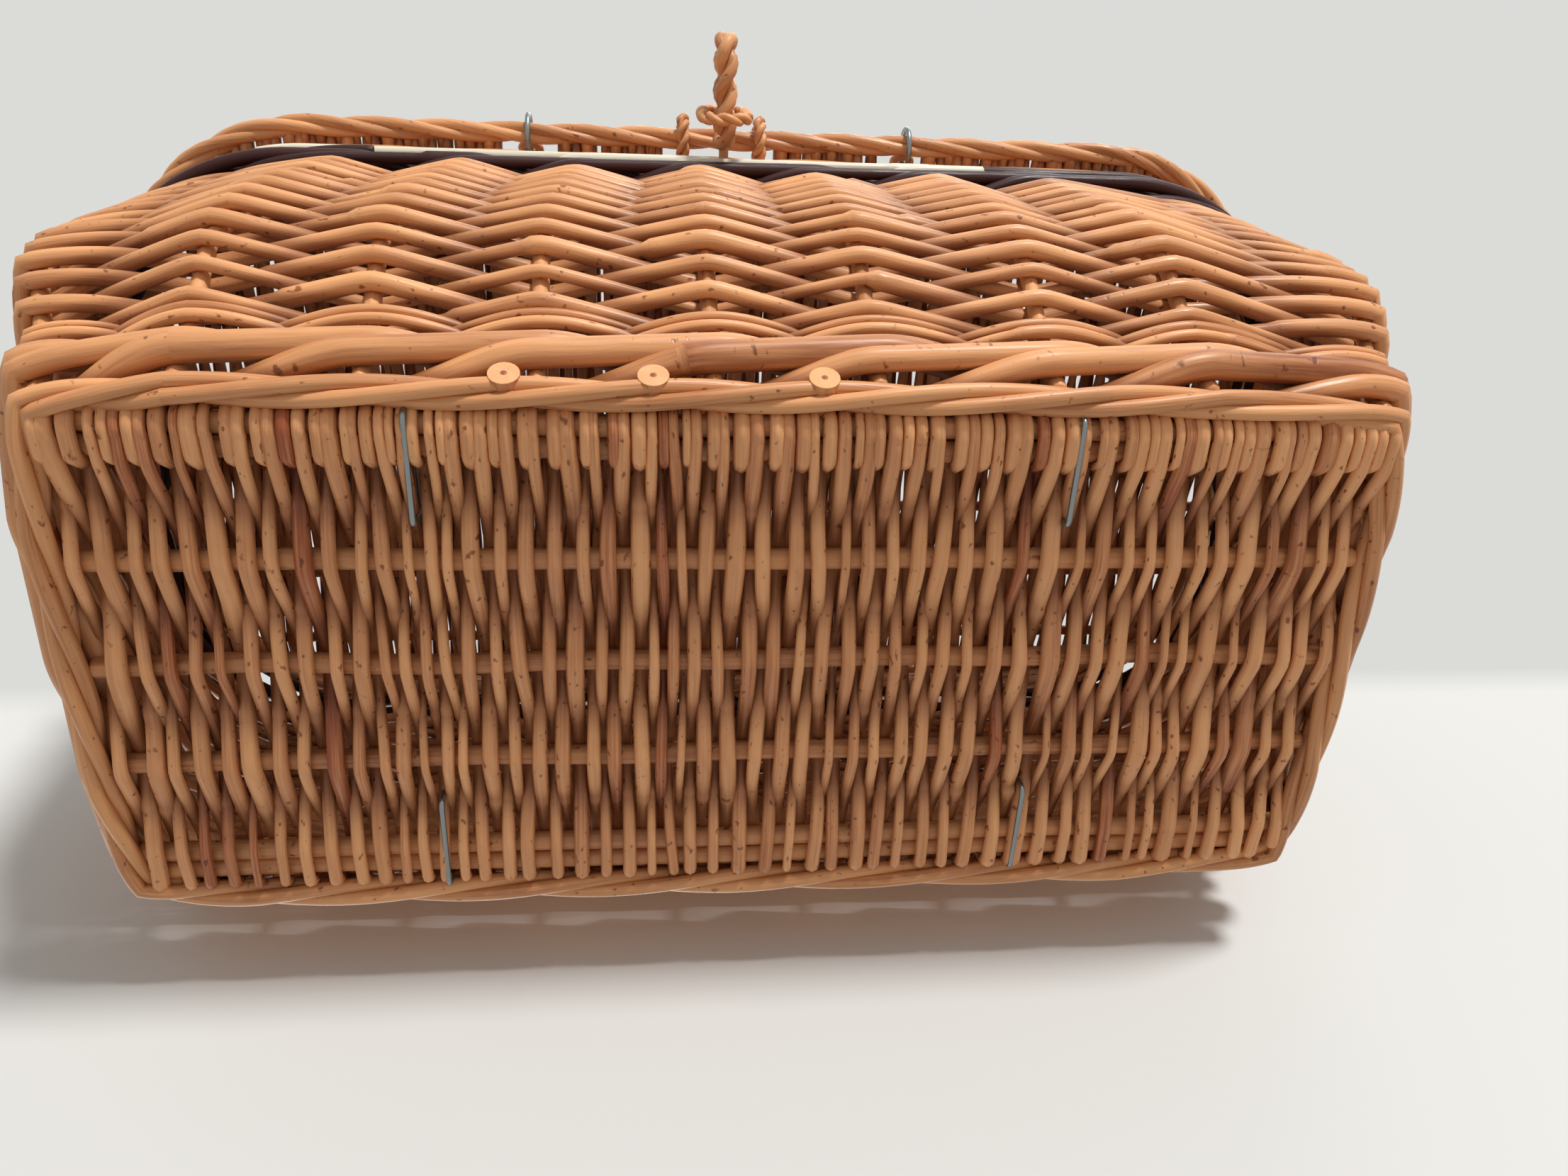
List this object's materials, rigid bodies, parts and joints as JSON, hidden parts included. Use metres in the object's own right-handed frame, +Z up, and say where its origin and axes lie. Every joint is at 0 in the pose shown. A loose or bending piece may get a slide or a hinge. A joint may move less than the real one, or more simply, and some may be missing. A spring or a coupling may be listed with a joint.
{
  "type": "picnic basket",
  "caption": "Rectangular willow picnic basket with rounded flaring sides, a hinged lid with a carrying handle, and a twisted staple and hasp at the front.",
  "frame": {"origin": "middle of the underside of the woven bottom", "axes": "+X along the length, +Y from the fastening to the hinges, +Z up towards the lid"},
  "size_m": [0.462, 0.2902, 0.2082],
  "materials": {
    "willow_tan": "satin",
    "willow_pale": "satin",
    "willow_dark": "satin",
    "willow_white": "satin",
    "steel": "brushed"
  },
  "bodies": {
    "basket": {"base_sticks": "willow_pale", "base_ties": "steel", "base_weave_inside": "willow_pale", "base_weave_under": "willow_pale", "binding_rods": "willow_tan", "binding_rods_inside": "willow_tan", "border_inside": "willow_tan", "border_outside": "willow_tan", "border_top": "willow_tan", "cut_ends": "willow_pale", "dark_rods": "willow_dark", "dark_rods_inside": "willow_dark", "foot_rods": "willow_pale", "hinge_left": "willow_tan", "hinge_right": "willow_tan", "side_stakes": "willow_tan", "staple": "willow_tan", "staple_ring": "willow_tan", "upsett_rod_inside": "willow_tan", "upsett_rods": "willow_tan", "wall_weave_inside": "willow_tan", "wall_weave_outside": "willow_tan", "white_rod": "willow_white", "white_rod_inside": "willow_white"},
    "lid": {"lid_edge": "willow_tan", "lid_sticks": "willow_pale", "lid_weave_under": "willow_tan", "lid_weave_top": "willow_tan"},
    "hasp": {"hasp": "willow_tan"},
    "handle": {"handle": "willow_tan", "ring_left": "steel", "ring_right": "steel"}
  },
  "joints": [
    {"name": "lid_hinge", "type": "hinge", "parent": "basket", "child": "lid", "pos_m": [0, 0.11455, 0.18224], "axis": [-1, 0, 0], "range_deg": [0, 110]},
    {"name": "hasp_pivot", "type": "hinge", "parent": "lid", "child": "hasp", "pos_m": [0, -0.12555, 0.18224], "axis": [1, 0, 0], "range_deg": [0, 238]},
    {"name": "handle_pivot", "type": "hinge", "parent": "lid", "child": "handle", "pos_m": [0, -0.12555, 0.18224], "axis": [1, 0, 0], "range_deg": [0, 150]}
  ]
}
